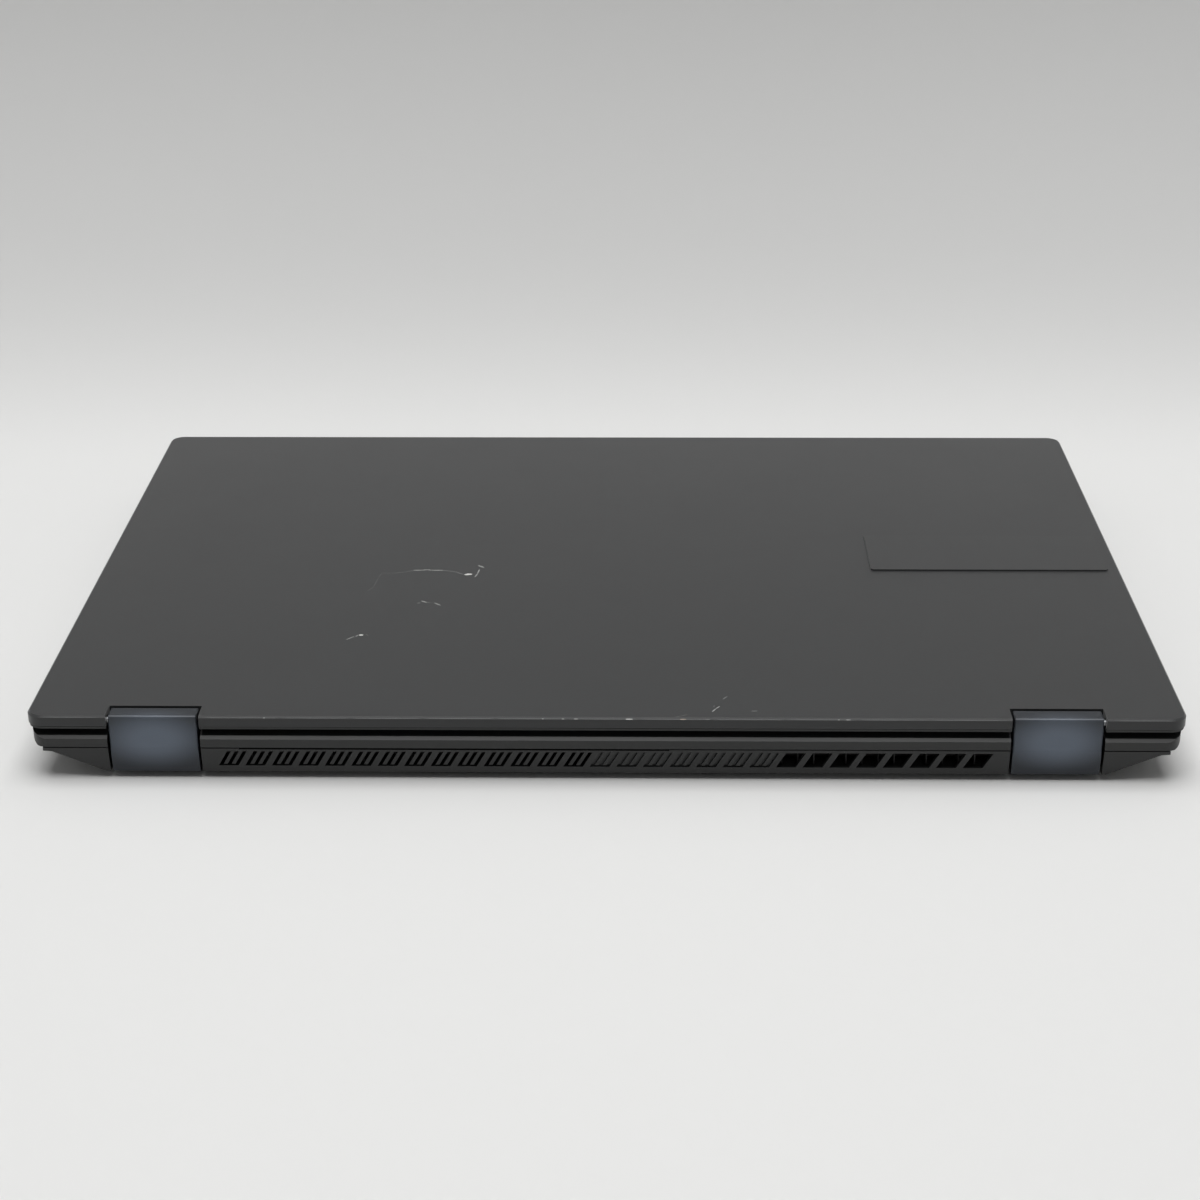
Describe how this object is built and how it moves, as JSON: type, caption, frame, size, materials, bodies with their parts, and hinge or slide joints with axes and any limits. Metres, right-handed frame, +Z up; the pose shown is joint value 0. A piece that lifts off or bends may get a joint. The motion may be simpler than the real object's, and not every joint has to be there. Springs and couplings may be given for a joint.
{
  "type": "laptop computer",
  "caption": "Closed clamshell laptop computer with a hinged screen lid, keyboard base, capped barrel hinges and slanted exhaust openings along its rear wall.",
  "frame": {"origin": "on the table, under the middle of the closed laptop's outline", "axes": "+X to the user's right, +Y from the user back to the hinges, +Z up"},
  "size_m": [0.357, 0.2506, 0.0225],
  "materials": {
    "lid_shell": "fine matte dark grey",
    "case_shell": "fine matte dark grey",
    "hinge_cap_paint": "satin blue-grey",
    "bezel_plastic": "matte black",
    "screen": "dark screen, switched off",
    "sheet_steel": "bare steel",
    "socket_metal": "nickel plated",
    "socket_plastic": "black moulding",
    "rubber": "matte black",
    "keycap": "matte dark grey",
    "touchpad_surface": "satin",
    "circuit_board": "green solder mask",
    "chip": "black epoxy",
    "copper": "bare copper",
    "fins": "bare",
    "fan_plastic": "black moulding",
    "battery_wrap": "black film",
    "ribbon_film": "white film",
    "lens": "black lens"
  },
  "bodies": {
    "base": {"audio_jack": "socket_plastic", "battery": "battery_wrap", "bottom_cover": "case_shell", "cold_plate": "copper", "exhaust_panel": "case_shell", "fan_housing_left": "fan_plastic", "fan_housing_right": "fan_plastic", "fin_stack_left": "fins", "fin_stack_right": "fins", "front_feet": "rubber", "heat_pipes": "copper", "hinge_bracket_left": "sheet_steel", "hinge_bracket_right": "sheet_steel", "hinge_cap_left": "hinge_cap_paint", "hinge_cap_right": "hinge_cap_paint", "io_board": "circuit_board", "io_ribbon": "ribbon_film", "keyboard_frame": "case_shell", "keyboard_plate": "sheet_steel", "memory_module": "circuit_board", "motherboard": "circuit_board", "power_inlet": "socket_plastic", "processor": "chip", "rear_feet": "rubber", "solid_state_drive": "circuit_board", "speaker_left": "fan_plastic", "speaker_right": "fan_plastic", "top_case": "case_shell", "touchpad_tray": "sheet_steel", "usb_a_socket_left": "socket_metal", "usb_a_socket_right": "socket_metal", "usb_c_socket": "socket_metal", "video_socket": "socket_metal", "wireless_card": "circuit_board"},
    "lid": {"camera": "lens", "display_panel": "screen", "hinge_arm_left": "sheet_steel", "hinge_arm_right": "sheet_steel", "lid_cover": "lid_shell", "lid_gasket": "rubber", "lid_plate": "lid_shell", "screen_bezel": "bezel_plastic"},
    "touchpad": {"touchpad": "touchpad_surface"},
    "fan_left": {"fan_rotor_left": "fan_plastic"},
    "fan_right": {"fan_rotor_right": "fan_plastic"},
    "function_keys": {"function_keys": "keycap"},
    "main_keys": {"main_keys": "keycap"},
    "number_pad_keys": {"number_pad_keys": "keycap"},
    "arrow_keys": {"arrow_keys": "keycap"},
    "space_bar": {"space_bar": "keycap"},
    "enter_key": {"enter_key": "keycap"},
    "backspace_key": {"backspace_key": "keycap"},
    "tab_key": {"tab_key": "keycap"},
    "caps_lock_key": {"caps_lock_key": "keycap"},
    "left_shift_key": {"left_shift_key": "keycap"},
    "right_shift_key": {"right_shift_key": "keycap"},
    "power_button": {"power_button": "keycap"}
  },
  "joints": [
    {"name": "lid_hinge", "type": "hinge", "parent": "base", "child": "lid", "pos_m": [0, 0.12265, 0.0195], "axis": [-1, 0, 0], "range_deg": [0, 140]},
    {"name": "touchpad_press", "type": "hinge", "parent": "base", "child": "touchpad", "pos_m": [0, -0.03425, 0.01435], "axis": [1, 0, 0], "range_deg": [0, 0.3494], "stiffness_Nm_per_rad": 30, "springref_deg": -0.17},
    {"name": "fan_spin_left", "type": "hinge", "parent": "base", "child": "fan_left", "pos_m": [-0.0873, 0.0783, 0.0043], "axis": [0, 0, 1], "continuous": true},
    {"name": "fan_spin_right", "type": "hinge", "parent": "base", "child": "fan_right", "pos_m": [0.0873, 0.0783, 0.0043], "axis": [0, 0, 1], "continuous": true},
    {"name": "function_keys_press", "type": "slide", "parent": "base", "child": "function_keys", "axis": [0, 0, -1], "range_m": [0, 0.0014], "stiffness_N_per_m": 7200, "springref_m": -0.0005},
    {"name": "main_keys_press", "type": "slide", "parent": "base", "child": "main_keys", "axis": [0, 0, -1], "range_m": [0, 0.0014], "stiffness_N_per_m": 21200, "springref_m": -0.0005},
    {"name": "number_pad_keys_press", "type": "slide", "parent": "base", "child": "number_pad_keys", "axis": [0, 0, -1], "range_m": [0, 0.0014], "stiffness_N_per_m": 6800, "springref_m": -0.0005},
    {"name": "arrow_keys_press", "type": "slide", "parent": "base", "child": "arrow_keys", "axis": [0, 0, -1], "range_m": [0, 0.0014], "stiffness_N_per_m": 1600, "springref_m": -0.0005},
    {"name": "space_bar_press", "type": "slide", "parent": "base", "child": "space_bar", "axis": [0, 0, -1], "range_m": [0, 0.0014], "stiffness_N_per_m": 400, "springref_m": -0.0005},
    {"name": "enter_key_press", "type": "slide", "parent": "base", "child": "enter_key", "axis": [0, 0, -1], "range_m": [0, 0.0014], "stiffness_N_per_m": 400, "springref_m": -0.0005},
    {"name": "backspace_key_press", "type": "slide", "parent": "base", "child": "backspace_key", "axis": [0, 0, -1], "range_m": [0, 0.0014], "stiffness_N_per_m": 400, "springref_m": -0.0005},
    {"name": "tab_key_press", "type": "slide", "parent": "base", "child": "tab_key", "axis": [0, 0, -1], "range_m": [0, 0.0014], "stiffness_N_per_m": 400, "springref_m": -0.0005},
    {"name": "caps_lock_key_press", "type": "slide", "parent": "base", "child": "caps_lock_key", "axis": [0, 0, -1], "range_m": [0, 0.0014], "stiffness_N_per_m": 400, "springref_m": -0.0005},
    {"name": "left_shift_key_press", "type": "slide", "parent": "base", "child": "left_shift_key", "axis": [0, 0, -1], "range_m": [0, 0.0014], "stiffness_N_per_m": 400, "springref_m": -0.0005},
    {"name": "right_shift_key_press", "type": "slide", "parent": "base", "child": "right_shift_key", "axis": [0, 0, -1], "range_m": [0, 0.0014], "stiffness_N_per_m": 400, "springref_m": -0.0005},
    {"name": "power_button_press", "type": "slide", "parent": "base", "child": "power_button", "axis": [0, 0, -1], "range_m": [0, 0.0014], "stiffness_N_per_m": 400, "springref_m": -0.0005}
  ]
}
